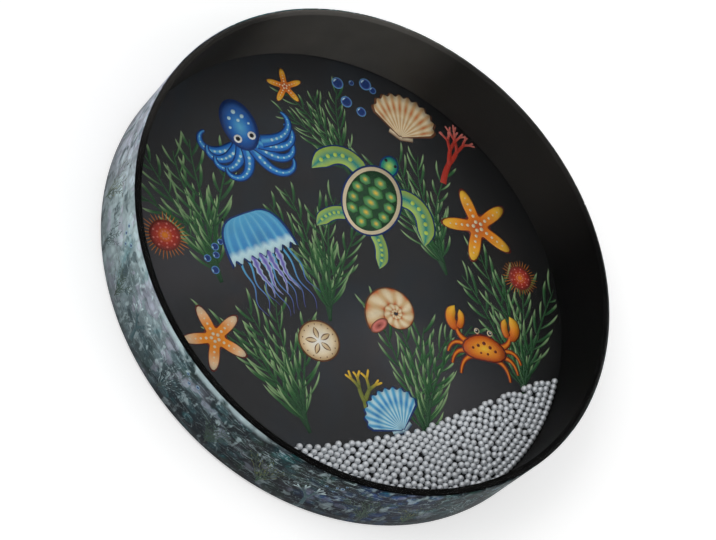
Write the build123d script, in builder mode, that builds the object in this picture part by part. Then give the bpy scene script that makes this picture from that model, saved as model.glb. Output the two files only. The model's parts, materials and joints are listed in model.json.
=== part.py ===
from build123d import *
import os
from heapq import heappop, heappush
from math import cos, dist, hypot, pi, radians, sin, sqrt, tan
from random import Random

# Ocean drum, a shallow sealed hoop with two film heads and a charge of loose steel balls.
# It lies flat on its lower head: +Z is the drum's axis, and the origin is the centre of
# the lower head's outer face. The balls lie heaped against the wall on the -Y side.

# Hoop, in millimetres
SHELL_DIAMETER = 404.0  # outside of the bare hoop
SHELL_WALL = 5.0
SHELL_DEPTH = 66.0  # from bearing edge to bearing edge
EDGE_COUNTER = 2.0  # 45 degree counter-cut on the outside of both bearing edges
EDGE_CROWN = 1.0  # flat land that the film bears on, between counter-cut and inner bevel

# Heads and wrap
FILM = 0.25  # thickness of both heads
GLUE_LINE = 0.1  # between hoop, collars and wrap
COLLAR_DEPTH = 18.0  # how far a head comes down the outside of the hoop
WRAP_SHEET = 0.5  # thickness of the printed wrap
WRAP_MARGIN = 2.5  # from the wrap's edges to the outer faces of the heads
SEAM_GAP = 0.8  # butt seam of the wrap

# Loose balls
BALL_DIAMETER = 5.0
BALL_GAP = 0.3  # between neighbouring balls
BALL_CLEARANCE = 0.3  # from the balls to the film and to the wall
BALL_RING = 0.42  # height of a ball's two rings of corners, as a share of its radius
HEAP_FRONT = 132.0  # from the drum's axis to the middle of the heap's front
HEAP_BOW = 13.0  # how far the ends of the heap's front stand forward of its middle
HEAP_JUMBLE = 3.0  # how far out of turn a ball may settle in the heap
HEAP_DRAW = 5  # starts the draw of the turns
BALL_ROWS = 15  # rows that the heap runs out in, front row first

# Sizes that follow
shell_radius = SHELL_DIAMETER / 2
bore_radius = shell_radius - SHELL_WALL
edge_bevel = SHELL_WALL - EDGE_COUNTER - EDGE_CROWN
shell_bottom = FILM + GLUE_LINE
mid_height = shell_bottom + SHELL_DEPTH / 2
collar_inside = shell_radius + GLUE_LINE
glue_mitre = GLUE_LINE * tan(radians(45 / 2))
wrap_inside = collar_inside + FILM + GLUE_LINE
wrap_height = 2 * (mid_height - WRAP_MARGIN)
ball_radius = BALL_DIAMETER / 2
ball_pitch = BALL_DIAMETER + BALL_GAP
ball_height = FILM + BALL_CLEARANCE + ball_radius
run_radius = bore_radius - BALL_CLEARANCE - ball_radius

os.makedirs("parts", exist_ok=True)


# Hoop, with bearing edges cut at 45 degrees on both sides of a narrow crown
with BuildPart() as shell:
    with BuildSketch(Plane.XZ) as shell_section:
        with Locations((shell_radius - SHELL_WALL / 2, mid_height)):
            Rectangle(SHELL_WALL, SHELL_DEPTH)
        corners = shell_section.vertices().group_by(Axis.X)
        chamfer(corners[-1], EDGE_COUNTER)
        chamfer(corners[0], edge_bevel)
    revolve(axis=Axis.Z)
shell.part.label = "shell"
export_step(shell.part, "parts/shell.step")


# Printed lower head, a flat film whose collar turns up over the bearing edge
with BuildPart() as lower_head:
    with BuildSketch(Plane.XZ):
        with BuildLine():
            Polyline(
                (0, FILM),
                (shell_radius - EDGE_COUNTER + glue_mitre, FILM),
                (collar_inside, shell_bottom + EDGE_COUNTER - glue_mitre),
                (collar_inside, COLLAR_DEPTH),
            )
            offset(amount=FILM, side=Side.RIGHT, kind=Kind.INTERSECTION)
        make_face()
    revolve(axis=Axis.Z)
lower_head.part.label = "lower_head"
export_step(lower_head.part, "parts/lower_head.step")


# Clear upper head, the same film the other way up
with BuildPart() as upper_head:
    mirror(lower_head.part, about=Plane.XY.offset(mid_height))
upper_head.part.label = "upper_head"
export_step(upper_head.part, "parts/upper_head.step")


# Printed wrap over the hoop and both collars, with a butt seam on the +X side
with BuildPart() as shell_wrap:
    with BuildSketch(Plane.XZ):
        with Locations((wrap_inside + WRAP_SHEET / 2, mid_height)):
            Rectangle(WRAP_SHEET, wrap_height)
    revolve(axis=Axis.Z)
    with Locations((wrap_inside + WRAP_SHEET / 2, 0, mid_height)):
        Box(2 * WRAP_SHEET, SEAM_GAP, 2 * wrap_height, mode=Mode.SUBTRACT)
shell_wrap.part.label = "shell_wrap"
export_step(shell_wrap.part, "parts/shell_wrap.step")


def ring_of_corners(height, turn):
    """Four corners of a ball on a level ring, turned by some degrees about its axis."""
    radius = sqrt(ball_radius**2 - height**2)
    angles = [radians(turn + 90 * corner) for corner in range(4)]
    return [(radius * cos(angle), radius * sin(angle), height) for angle in angles]


def ball_corners():
    """The ten corners of a ball that is cut with sixteen faces."""
    ring_height = BALL_RING * ball_radius
    return [
        (0, 0, -ball_radius),
        *ring_of_corners(-ring_height, 0),
        *ring_of_corners(ring_height, 45),
        (0, 0, ball_radius),
    ]


def meeting_places(first, second, first_reach, second_reach):
    """The two points that lie at given distances from two others, where there are any."""
    apart = dist(first, second)
    if not abs(first_reach - second_reach) < apart < first_reach + second_reach:
        return []
    along = (first_reach**2 - second_reach**2 + apart**2) / (2 * apart)
    aside = sqrt(first_reach**2 - along**2)
    ahead_x, ahead_y = (second[0] - first[0]) / apart, (second[1] - first[1]) / apart
    x, y = first[0] + along * ahead_x, first[1] + along * ahead_y
    return [(x - aside * ahead_y, y + aside * ahead_x), (x + aside * ahead_y, y - aside * ahead_x)]


def heap_level(place):
    """How far forward a place lies in the heap, less what the bow of the front allows there."""
    half_width = sqrt(run_radius**2 - HEAP_FRONT**2)
    aside = min(abs(place[0]) / half_width, 1)
    return place[1] - HEAP_BOW * sin(aside * pi / 2) ** 2


def poured_heap():
    """Plan positions of the balls, front first: one by one, roughly from the rear, they settle in free places
    that touch two others, or one other and the wall."""
    slack = BALL_GAP / 10
    draw = Random(HEAP_DRAW)
    waiting, placed = [(0, (0, -run_radius))], []
    while waiting:
        _, place = heappop(waiting)
        outside = hypot(*place) > run_radius + slack or heap_level(place) > -HEAP_FRONT
        if outside or any(dist(place, other) < ball_pitch - slack for other in placed):
            continue
        found = meeting_places(place, (0, 0), ball_pitch, run_radius)
        for other in placed:
            found += meeting_places(place, other, ball_pitch, ball_pitch)
        for free in found:
            heappush(waiting, (heap_level(free) + draw.uniform(0, HEAP_JUMBLE), free))
        placed.append(place)
    return sorted(placed, key=lambda place: -place[1])


# Loose balls, shared out evenly among the rows of the heap
positions = poured_heap()
corners_of_ball = ball_corners()
for row in range(BALL_ROWS):
    first = row * len(positions) // BALL_ROWS
    last = (row + 1) * len(positions) // BALL_ROWS
    name = f"ball_row_{row + 1:02d}"
    with BuildPart() as ball_row:
        with Locations(*[(x, y, ball_height) for x, y in positions[first:last]]):
            ConvexPolyhedron(corners_of_ball)
    ball_row.part.label = name
    export_step(ball_row.part, f"parts/{name}.step")
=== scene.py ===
import functools
import json
import logging
import math
from abc import ABC, abstractmethod
from dataclasses import dataclass
from enum import Enum, IntEnum
from typing import Any, Callable, Sequence

import bpy
import numpy as np
from mathutils import Matrix, Vector


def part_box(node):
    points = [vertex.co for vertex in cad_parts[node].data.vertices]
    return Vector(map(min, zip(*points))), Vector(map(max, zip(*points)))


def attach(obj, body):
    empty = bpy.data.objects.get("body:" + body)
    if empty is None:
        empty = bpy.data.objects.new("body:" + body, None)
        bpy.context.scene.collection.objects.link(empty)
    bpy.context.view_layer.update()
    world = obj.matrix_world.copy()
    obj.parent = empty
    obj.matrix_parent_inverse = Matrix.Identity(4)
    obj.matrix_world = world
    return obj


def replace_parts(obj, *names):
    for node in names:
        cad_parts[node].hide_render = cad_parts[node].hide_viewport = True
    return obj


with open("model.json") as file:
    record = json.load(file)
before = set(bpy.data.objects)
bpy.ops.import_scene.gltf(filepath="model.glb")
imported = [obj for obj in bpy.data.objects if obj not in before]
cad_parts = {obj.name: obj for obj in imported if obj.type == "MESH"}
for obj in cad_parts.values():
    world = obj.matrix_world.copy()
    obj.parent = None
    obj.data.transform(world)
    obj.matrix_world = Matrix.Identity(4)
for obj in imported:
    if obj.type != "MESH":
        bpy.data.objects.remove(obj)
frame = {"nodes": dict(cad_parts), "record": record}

# Looks of the ocean drum: a black hoop in a printed wrap, a clear film head over a dark printed one,
# and a charge of steel balls lying between them. Everything is in metres, in the frame of the CAD part.

Array = np.ndarray
Spot = tuple[float, float]
Triple = tuple[float, float, float]
Rgba = tuple[float, float, float, float]
Tint = Callable[[Array, Array], Array]
MM = 0.001
FULL_TURN = 2 * math.pi
CURVE_SHARE = 0.34  # the most of a side that a rounded corner takes up
FLAT_START = 1.35  # where a flat's first point lies, in reaches of the corner before it
LOG = logging.getLogger("ocean_drum")


class Body(Enum):
    """The body that the drum's own pieces ride on; the balls' bodies come from the frame."""

    DRUM = "drum"


class Slot(Enum):
    """The record's material slots."""

    HOOP = "black_hoop"
    CLEAR = "clear_film"
    PRINT = "printed_film"
    WRAP = "printed_wrap"
    STEEL = "ball_steel"


class Side(Enum):
    """Which of the two heads a film belongs to."""

    LOWER = "lower_head"
    UPPER = "upper_head"


class Paint(Enum):
    """The printer's inks, as 8-bit screen colours."""

    INK = (20, 20, 26)
    WHITE = (246, 246, 240)
    CREAM = (240, 222, 186)
    SAND = (214, 178, 126)
    BROWN = (106, 64, 38)
    YELLOW = (246, 198, 62)
    ORANGE = (238, 142, 34)
    RUST = (202, 84, 26)
    RED = (180, 50, 34)
    BRICK = (112, 40, 32)
    PINK = (222, 128, 116)
    NAVY = (20, 52, 112)
    BLUE = (32, 106, 188)
    SKY = (92, 176, 216)
    ICE = (196, 230, 238)
    TEAL = (34, 124, 132)
    SEA_GREEN = (54, 150, 106)
    REEF = (18, 130, 128)
    LIME = (188, 216, 96)
    LEAF = (60, 122, 60)
    DEEP_LEAF = (30, 66, 40)
    WEED = (47, 98, 53)
    WEED_TIP = (170, 202, 146)
    OLIVE = (122, 130, 56)
    VIOLET = (88, 84, 172)
    LILAC = (170, 164, 220)
    SLATE = (104, 126, 132)
    MIST = (198, 220, 224)
    HAZE = (206, 204, 226)
    LAGOON = (54, 82, 88)
    MOSS = (36, 52, 46)
    DUSK = (44, 70, 124)
    STONE = (66, 80, 74)

    @property
    def linear(self) -> Array:
        """The colour as linear light, by the screen's own curve."""
        screen = np.array(self.value) / 255.0
        return np.where(screen <= 0.04045, screen / 12.92, ((screen + 0.055) / 1.055) ** 2.4)

    @property
    def rgba(self) -> Rgba:
        """The linear colour with full cover, as a socket takes it."""
        return (*(float(c) for c in self.linear), 1.0)


Stop = tuple[float, Paint]


class Bed(IntEnum):
    """Layers of ink that figures start at, from the sheet up."""

    WEED = 0
    WEED_ABOVE = 31
    DRIFT = 62
    FRONT = 66


@dataclass(frozen=True)
class Shade:
    """A socket of a material, on which arithmetic is written as Python expressions."""

    recipe: "Recipe"
    socket: bpy.types.NodeSocket

    def _math(self, operation: str, first: Any, second: Any) -> "Shade":
        """Adds one Math node for two values or sockets."""
        return self.recipe.node("ShaderNodeMath", {"operation": operation}, {0: first, 1: second})

    def __add__(self, other: Any) -> "Shade":
        """Sum."""
        return self._math("ADD", self, other)

    __radd__ = __add__

    def __sub__(self, other: Any) -> "Shade":
        """Difference."""
        return self._math("SUBTRACT", self, other)

    def __rsub__(self, other: Any) -> "Shade":
        """Difference with this socket on the right."""
        return self._math("SUBTRACT", other, self)

    def __mul__(self, other: Any) -> "Shade":
        """Product."""
        return self._math("MULTIPLY", self, other)

    __rmul__ = __mul__

    def __pow__(self, other: Any) -> "Shade":
        """Power."""
        return self._math("POWER", self, other)

    def __abs__(self) -> "Shade":
        """Size without sign."""
        return self._math("ABSOLUTE", self, 0.0)

    def between(self, low: float, high: float) -> "Shade":
        """A smooth step from 0 at low to 1 at high.

        Args:
            low: value at which the step starts.
            high: value at which the step ends; below low, the step falls.

        Returns:
            The step as a value from 0 to 1.
        """
        return self.recipe.node(
            "ShaderNodeMapRange",
            {"interpolation_type": "SMOOTHSTEP"},
            {"Value": self, "From Min": low, "From Max": high},
        )


class Recipe:
    """The node tree of one material or of the world."""

    def __init__(self, tree: bpy.types.NodeTree) -> None:
        """Starts from an empty tree."""
        tree.nodes.clear()
        self.tree = tree

    def node(
        self,
        kind: str,
        settings: dict[str, Any] | None = None,
        sockets: dict[str | int, Any] | None = None,
        out: str | int = 0,
    ) -> Shade:
        """Adds a node.

        Args:
            kind: the node's type.
            settings: properties set before the sockets; "stops" sets a ramp's colours.
            sockets: values or links of the inputs, by name or number.
            out: the output that is handed back.

        Returns:
            That output.
        """
        made = self.tree.nodes.new(kind)
        for name, value in (settings or {}).items():
            if name == "stops":
                self._set_stops(made.color_ramp, value)
            else:
                setattr(made, name, value)
        for name, value in (sockets or {}).items():
            if isinstance(value, Shade):
                self.tree.links.new(value.socket, made.inputs[name])
            else:
                made.inputs[name].default_value = value
        return Shade(self, made.outputs[out] if len(made.outputs) else made.inputs[0])

    @staticmethod
    def _set_stops(bands: bpy.types.ColorRamp, stops: Sequence[Stop]) -> None:
        """Gives a ramp its stops, in order.

        Args:
            bands: the ramp.
            stops: places and inks.
        """
        while len(bands.elements) < len(stops):
            bands.elements.new(1.0)
        for element, (place, paint) in zip(bands.elements, stops):
            element.position = place
            element.color = paint.rgba

    def place(self) -> Shade:
        """Where a point lies on the piece, in metres."""
        return self.node("ShaderNodeTexCoord", out="Object")

    def dot(self, place: Shade, way: Triple) -> Shade:
        """How far a point lies along a way, times the way's length."""
        return self.node("ShaderNodeVectorMath", {"operation": "DOT_PRODUCT"}, {0: place, 1: way}, "Value")

    def stretched(self, place: Shade, scale: Triple) -> Shade:
        """Coordinates scaled along each axis."""
        return self.node("ShaderNodeMapping", sockets={"Vector": place, "Scale": scale})

    def noise(self, place: Shade, scale: float, detail: float = 3.0, warp: float = 0.0) -> Shade:
        """Soft noise from 0 to 1 with features about 1/scale metres across."""
        sockets = {"Vector": place, "Scale": scale, "Detail": detail, "Distortion": warp}
        return self.node("ShaderNodeTexNoise", sockets=sockets)

    def cells(self, place: Shade, scale: float) -> Shade:
        """Distance to the nearest middle in a field of cells about 1/scale metres across."""
        return self.node("ShaderNodeTexVoronoi", sockets={"Vector": place, "Scale": scale}, out="Distance")

    def bands(self, value: Shade, *stops: Stop) -> Shade:
        """A colour looked up along a ramp."""
        return self.node("ShaderNodeValToRGB", {"stops": stops}, {"Fac": value})

    def mix(self, share: Any, first: Any, second: Any, way: str = "MIX") -> Shade:
        """Two colours blended by a share, from first at 0 to second at 1."""
        settings = {"data_type": "RGBA", "blend_type": way, "clamp_factor": True}
        return self.node("ShaderNodeMix", settings, {0: share, 6: first, 7: second}, 2)

    def bump(self, height: Shade, depth: float, strength: float = 1.0) -> Shade:
        """A normal from a height field that is depth metres deep."""
        sockets = {"Height": height, "Distance": depth, "Strength": strength}
        return self.node("ShaderNodeBump", sockets=sockets, out="Normal")

    def principled(self, **sockets: Any) -> Shade:
        """The main shader, its inputs named with _ for each space."""
        named = {name.replace("_", " "): value for name, value in sockets.items()}
        return self.node("ShaderNodeBsdfPrincipled", sockets=named)

    def surface(self, shader: Shade, output: str = "ShaderNodeOutputMaterial") -> None:
        """Makes a shader the tree's result."""
        self.node(output, sockets={"Surface": shader})


@dataclass(frozen=True)
class Finish(ABC):
    """A procedural finish, made into one material the first time it is used."""

    name: str

    @abstractmethod
    def shader(self, recipe: Recipe) -> Shade:
        """Lays the finish's nodes.

        Args:
            recipe: the tree that they go into.

        Returns:
            The finish's shader.
        """

    @functools.cache
    def material(self) -> bpy.types.Material:
        """The finish's material.

        Returns:
            The material, the same one at each call.
        """
        made = bpy.data.materials.new(self.name)
        made.use_nodes = True
        recipe = Recipe(made.node_tree)
        recipe.surface(self.shader(recipe))
        return made


@dataclass(frozen=True)
class BlackHoopFinish(Finish):
    """Black lacquer on a bent ply hoop: fine long grain round the hoop, and painted light that greys one
    side.
    """

    dark: Rgba = (0.0012, 0.0012, 0.0012, 1.0)
    light: Rgba = (0.0050, 0.0048, 0.0045, 1.0)
    # painted light: the grey laid on one side of the hoop as if light fell there, and the way to that side
    painted_light_grey: Rgba = (0.123, 0.116, 0.107, 1.0)
    painted_light_side: Triple = (1.57, 4.83, 0.0)

    def shader(self, recipe: Recipe) -> Shade:
        """Grain from noise drawn out flat, so it runs level round the hoop, under painted light: a cloudy
        grey that is faint over half the hoop and strong near its middle.

        Args:
            recipe: the tree that the nodes go into.

        Returns:
            The finish's shader.
        """
        place = recipe.place()
        grain = recipe.noise(recipe.stretched(place, (1.0, 1.0, 6.0)), 90.0, 3.0)
        cloud = recipe.noise(place, 38.0)
        lacquer = recipe.mix(grain.between(0.35, 0.75), self.dark, self.light)
        # painted light: one side of the hoop greyed as if lit, strongest near its middle and clouded by noise
        side = recipe.dot(place, self.painted_light_side)
        painted_light_mask = (0.25 * side.between(0.10, 0.55) + 0.75 * side.between(0.87, 1.0)) * (0.6 + 0.4 * cloud)
        return recipe.principled(
            Base_Color=recipe.mix(painted_light_mask, lacquer, self.painted_light_grey),
            Roughness=0.40 + 0.14 * cloud + 0.08 * grain,
            Specular_IOR_Level=0.02,
            Normal=recipe.bump(grain, 0.02 * MM, 0.3),
        )


@dataclass(frozen=True)
class ClearFilmFinish(Finish):
    """Clear polyester: see-through from above, glossier at a slant, with faint scuffs where hands rub it."""

    haze: float = 0.012
    scuff: float = 0.02
    glare: float = 0.22
    gloss: Rgba = (0.05, 0.052, 0.055, 1.0)

    def shader(self, recipe: Recipe) -> Shade:
        """A gloss laid over clear by 1 - cos(slant) to the fifth power, plus the haze and the scuffs.

        Args:
            recipe: the tree that the nodes go into.

        Returns:
            The finish's shader.
        """
        place = recipe.place()
        slant = recipe.node("ShaderNodeLayerWeight", sockets={"Blend": 0.5}, out="Facing")
        rub = recipe.noise(recipe.stretched(place, (1.0, 5.0, 1.0)), 90.0, 5.0, 0.6).between(0.56, 0.80)
        patch = recipe.noise(place, 9.0).between(0.45, 0.7)
        cover = self.haze + self.scuff * rub * patch + self.glare * slant ** 5.0
        gloss = recipe.principled(Base_Color=self.gloss, Roughness=0.30 + 0.10 * rub, IOR=1.58)
        clear = recipe.node("ShaderNodeBsdfTransparent")
        return recipe.node("ShaderNodeMixShader", sockets={0: cover, 1: clear, 2: gloss})


@dataclass(frozen=True)
class PrintGroundFinish(Finish):
    """The dark printed ground of the lower head: charcoal with drifts of slate blue and warm brown, under
    painted shade towards one side.
    """

    charcoal: Rgba = (0.0205, 0.0215, 0.0235, 1.0)
    slate: Rgba = (0.019, 0.027, 0.036, 1.0)
    umber: Rgba = (0.036, 0.027, 0.026, 1.0)
    # painted shade: the near-black laid over one side of the ground, and the way to that side
    deep: Rgba = (0.005, 0.005, 0.005, 1.0)
    smoke: Rgba = (0.062, 0.061, 0.068, 1.0)
    fleck: Rgba = (0.012, 0.012, 0.013, 1.0)
    painted_shade_way: Triple = (4.2, -0.3, 0.0)

    def shader(self, recipe: Recipe) -> Shade:
        """Three darks mixed by two slow noises and flecked by the print's fine mottle, with painted shade
        that darkens it towards one side, and drifts of smoke over them.

        Args:
            recipe: the tree that the nodes go into.

        Returns:
            The finish's shader.
        """
        place = recipe.place()
        way = recipe.dot(place, self.painted_shade_way)
        blue = recipe.noise(place, 13.0, 2.0).between(0.44, 0.64)
        warm = recipe.noise(recipe.stretched(place, (1.0, 1.4, 1.0)), 10.0, 2.0, 0.5).between(0.54, 0.70)
        mottle = recipe.noise(place, 260.0, 4.0)
        ground = recipe.mix(blue * 0.8, self.charcoal, self.slate)
        ground = recipe.mix(warm * 0.8, ground, self.umber)
        ground = recipe.mix(mottle.between(0.25, 0.8) * 0.4, ground, self.fleck)
        # painted shade: the ground darkens towards one side, as where the hoop's wall shades it
        ground = recipe.mix((way + 0.2 * blue).between(0.25, 0.9), ground, self.deep)
        drift = recipe.noise(place, 5.5, 1.0, 0.3)
        ground = recipe.mix(drift.between(0.50, 0.72) * 0.6, ground, self.smoke)
        return recipe.principled(
            Base_Color=ground,
            Roughness=0.42 + 0.18 * mottle,
            Specular_IOR_Level=0.25,
            Normal=recipe.bump(mottle, 0.02 * MM, 0.3),
        )


@dataclass(frozen=True)
class InkFinish(Finish):
    """Printing ink in the colours that each patch carries, with the soft unevenness of a screen print."""

    fade: float = 0.09
    dust: Rgba = (0.05, 0.055, 0.06, 1.0)
    chalk: Rgba = (0.9, 0.88, 0.82, 1.0)

    def shader(self, recipe: Recipe) -> Shade:
        """The patch's own colour, dulled a little by coarse mottle and chalked by fine.

        Args:
            recipe: the tree that the nodes go into.

        Returns:
            The finish's shader.
        """
        place = recipe.place()
        colour = recipe.node("ShaderNodeAttribute", {"attribute_name": "ink"}, out="Color")
        fine = recipe.noise(place, 420.0, 3.0)
        wash = recipe.noise(place, 75.0, 3.0, 0.4)
        worn = recipe.mix(wash.between(0.35, 0.8) * self.fade * 2.0, colour, self.dust)
        worn = recipe.mix(fine.between(0.4, 0.9) * self.fade, worn, self.chalk, "SOFT_LIGHT")
        return recipe.principled(
            Base_Color=worn,
            Roughness=0.45 + 0.2 * fine,
            Specular_IOR_Level=0.25,
            Normal=recipe.bump(fine, 0.01 * MM, 0.4),
        )


@dataclass(frozen=True)
class WrapFinish(Finish):
    """The wrap's print: misty water on one side of the hoop that deepens through teal and weedy green to blue
    and slate on the other."""

    waters: tuple[Stop, ...] = (
        (0.00, Paint.STONE),
        (0.16, Paint.DEEP_LEAF),
        (0.28, Paint.TEAL),
        (0.34, Paint.HAZE),
        (0.45, Paint.MIST),
        (0.52, Paint.SLATE),
        (0.57, Paint.LAGOON),
        (0.61, Paint.MOSS),
        (0.64, Paint.MOSS),
        (0.68, Paint.DUSK),
        (0.72, Paint.LAGOON),
        (0.78, Paint.MOSS),
        (0.92, Paint.MOSS),
        (1.00, Paint.STONE),
    )

    def shader(self, recipe: Recipe) -> Shade:
        """The way round the hoop, bent by slow noise, picks the water's colour, from 0 at one side of the
        seam to 1 at the other; weed stains, rocks, ripples along the hoop, pebbles, speckle, painted shade
        that darkens the foot and a pale line of painted highlight along the top edge are laid over it in
        turn.

        Args:
            recipe: the tree that the nodes go into.

        Returns:
            The finish's shader.
        """
        place = recipe.place()
        split = recipe.node("ShaderNodeSeparateXYZ", sockets={0: place}).socket.node.outputs
        x, y, z = (Shade(recipe, split[axis]) for axis in range(3))
        round_way = recipe.node("ShaderNodeMath", {"operation": "ARCTAN2"}, {0: y * -1.0, 1: x * -1.0})
        slow = recipe.noise(recipe.stretched(place, (1.0, 1.0, 1.6)), 17.0, 4.0, 0.5)
        share = round_way * (1 / FULL_TURN) + 0.5 + 0.16 * (slow - 0.5)
        deep = 0.4 + 0.6 * share.between(0.50, 0.58)
        calm = (0.9 - 0.4 * deep) * (0.4 + 0.6 * share.between(0.80, 0.70))
        weed = recipe.noise(recipe.stretched(place, (1.0, 1.0, 0.5)), 46.0, 4.0, 0.9)
        petal = recipe.noise(place, 62.0, 2.0, 0.3)
        rock = recipe.cells(recipe.stretched(place, (1.0, 1.0, 1.5)), 75.0)
        sheen = recipe.noise(recipe.stretched(place, (1.0, 1.0, 0.7)), 130.0, 3.0, 0.4)
        ripple = recipe.noise(recipe.stretched(place, (1.0, 1.0, 7.0)), 26.0, 3.0, 1.0)
        pebble = recipe.cells(place, 190.0)
        speck = recipe.noise(place, 600.0, 2.0)
        # painted highlight: a pale line along the wrap's top edge on the near side, where the rim would catch
        # the light
        painted_highlight_line = z.between(0.0565, 0.0615) * share.between(0.48, 0.53) * share.between(0.63, 0.57)
        stains = (
            (weed.between(0.52, 0.64) * deep * 0.75, Paint.DEEP_LEAF),
            (weed.between(0.42, 0.30) * 0.55, Paint.TEAL),
            (petal.between(0.57, 0.63) * (1.4 - deep) * 0.50, Paint.HAZE),
            (petal.between(0.41, 0.35) * 0.75, Paint.LAGOON),
            (rock.between(0.40, 0.56) * deep * 0.8, Paint.INK),
            (sheen.between(0.57, 0.66) * calm, Paint.MIST),
            (abs(ripple - 0.5).between(0.016, 0.0) * 0.55, Paint.MIST),
            (abs(ripple - 0.58).between(0.012, 0.0) * 0.7, Paint.INK),
            (pebble.between(0.35, 0.75) * deep * 0.45, Paint.INK),
            (speck.between(0.58, 0.75) * 0.22, Paint.ICE),
            # painted shade: the wrap darkens towards its foot, as near the floor
            (z.between(0.050, 0.0) * 0.55, Paint.INK),
            # painted highlight: the pale line along the top edge
            (painted_highlight_line * petal.between(0.34, 0.52) * 0.7, Paint.MIST),
        )
        water = recipe.bands(share, *self.waters)
        for mask, paint in stains:
            water = recipe.mix(mask, water, paint.rgba)
        return recipe.principled(
            Base_Color=water,
            Roughness=0.46 + 0.2 * speck,
            Specular_IOR_Level=0.08,
            Normal=recipe.bump(speck, 0.02 * MM, 0.25),
        )


@dataclass(frozen=True)
class SteelFinish(Finish):
    """Tumbled steel, each ball a shade brighter or duller than the next."""

    dull: Rgba = (0.65, 0.675, 0.70, 1.0)
    bright: Rgba = (0.75, 0.78, 0.81, 1.0)

    def shader(self, recipe: Recipe) -> Shade:
        """Metal whose tone comes from the ball, with tumbling marks in its gloss.

        Args:
            recipe: the tree that the nodes go into.

        Returns:
            The finish's shader.
        """
        place = recipe.place()
        tone = recipe.node("ShaderNodeAttribute", {"attribute_name": "tone"}, out="Fac")
        marks = recipe.noise(place, 1300.0, 3.0)
        return recipe.principled(
            Base_Color=recipe.mix(tone, self.dull, self.bright),
            Metallic=0.55,
            Roughness=0.50 + 0.14 * marks,
        )


def unit(way: float | Array) -> Array:
    """The direction at each angle: (cos a, sin a)."""
    return np.stack([np.cos(way), np.sin(way)], -1)


def turned(points: Array, way: float) -> Array:
    """Points turned about the origin by an angle: (x cos a - y sin a, x sin a + y cos a)."""
    c, s = math.cos(way), math.sin(way)
    return points @ np.array([[c, s], [-s, c]])


def spun(radius: float | Array, way: Array, height: float | Array) -> Array:
    """Points at a radius, an angle and a height: (r cos a, r sin a, z)."""
    r, a, z = np.broadcast_arrays(radius, way, height)
    return np.stack([r * np.cos(a), r * np.sin(a), z], -1).reshape(-1, 3)


def faces_of(index: Array, rows_close: bool = False, columns_close: bool = False) -> tuple[Array, Array]:
    """The faces of a grid of points; a row or column that is one point gives triangles.

    Args:
        index: the point at each place of the grid.
        rows_close: whether the last row joins the first.
        columns_close: whether the last column joins the first.

    Returns:
        The quads and the triangles, facing along row step x column step.
    """
    if rows_close:
        index = np.vstack([index, index[:1]])
    if columns_close:
        index = np.hstack([index, index[:, :1]])
    quads = np.stack([index[:-1, :-1], index[1:, :-1], index[1:, 1:], index[:-1, 1:]], -1).reshape(-1, 4)
    triangles = [np.empty((0, 3), int)]
    for corner in range(4):
        after = (corner + 1) % 4
        folded = quads[:, corner] == quads[:, after]
        triangles.append(np.delete(quads[folded], after, axis=1))
        quads = quads[~folded]
    return quads, np.vstack(triangles)


@dataclass
class Surface:
    """Points and faces of a piece, with what each point carries."""

    points: Array
    quads: Array
    triangles: Array
    colours: Array | None = None
    tones: Array | None = None

    def piece(self, name: str, finish: Finish, slot: Slot, body: str = Body.DRUM.value) -> bpy.types.Object:
        """Makes the surface a smooth-shaded object.

        Args:
            name: the piece's name.
            finish: what it is dressed in.
            slot: the record's material slot; not used.
            body: the body that it rides on.

        Returns:
            The object, at the origin.
        """
        mesh = bpy.data.meshes.new(name)
        mesh.from_pydata(self.points.tolist(), [], self.quads.tolist() + self.triangles.tolist())
        mesh.polygons.foreach_set("use_smooth", np.ones(len(mesh.polygons), bool))
        if self.colours is not None:
            rgba = np.hstack([self.colours, np.ones((len(self.colours), 1))]).astype(np.float32)
            mesh.attributes.new("ink", "FLOAT_COLOR", "POINT").data.foreach_set("color", rgba.ravel())
        if self.tones is not None:
            tones = self.tones.astype(np.float32)
            mesh.attributes.new("tone", "FLOAT", "POINT").data.foreach_set("value", tones)
        mesh.materials.append(finish.material())
        mesh.update()
        made = bpy.data.objects.new(name, mesh)
        bpy.context.scene.collection.objects.link(made)
        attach(made, body)
        LOG.info("%s: %d faces on %s", name, len(mesh.polygons), body)
        return made


def round_corners(corners: Array, reach: float, steps: int = 5, closed: bool = False) -> Array:
    """A path whose corners are rounded.

    Each corner P becomes the curve (1-t)^2 A + 2t(1-t) P + t^2 B, where A and B lie up to reach before and
    after it, with one more point on each side that keeps the flats flat.

    Args:
        corners: the corners, one row each.
        reach: how far from a corner its curve starts.
        steps: points on each curve.
        closed: whether the last corner joins the first.

    Returns:
        The points of the path.
    """
    before = np.roll(corners, 1, axis=0) - corners
    after = np.roll(corners, -1, axis=0) - corners
    back = np.linalg.norm(before, axis=1, keepdims=True)
    ahead = np.linalg.norm(after, axis=1, keepdims=True)
    room = np.minimum(reach, CURVE_SHARE * np.minimum(back, ahead))
    start, end = corners + before / back * room, corners + after / ahead * room
    t = np.linspace(0, 1, steps)[None, :, None]
    curve = (1 - t) ** 2 * start[:, None] + 2 * t * (1 - t) * corners[:, None] + t ** 2 * end[:, None]
    lead = (corners + before / back * room * FLAT_START)[:, None]
    trail = (corners + after / ahead * room * FLAT_START)[:, None]
    path = np.concatenate([lead, curve, trail], axis=1)
    if closed:
        return path.reshape(-1, corners.shape[1])
    return np.vstack([corners[:1], path[1:-1].reshape(-1, corners.shape[1]), corners[-1:]])


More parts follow.
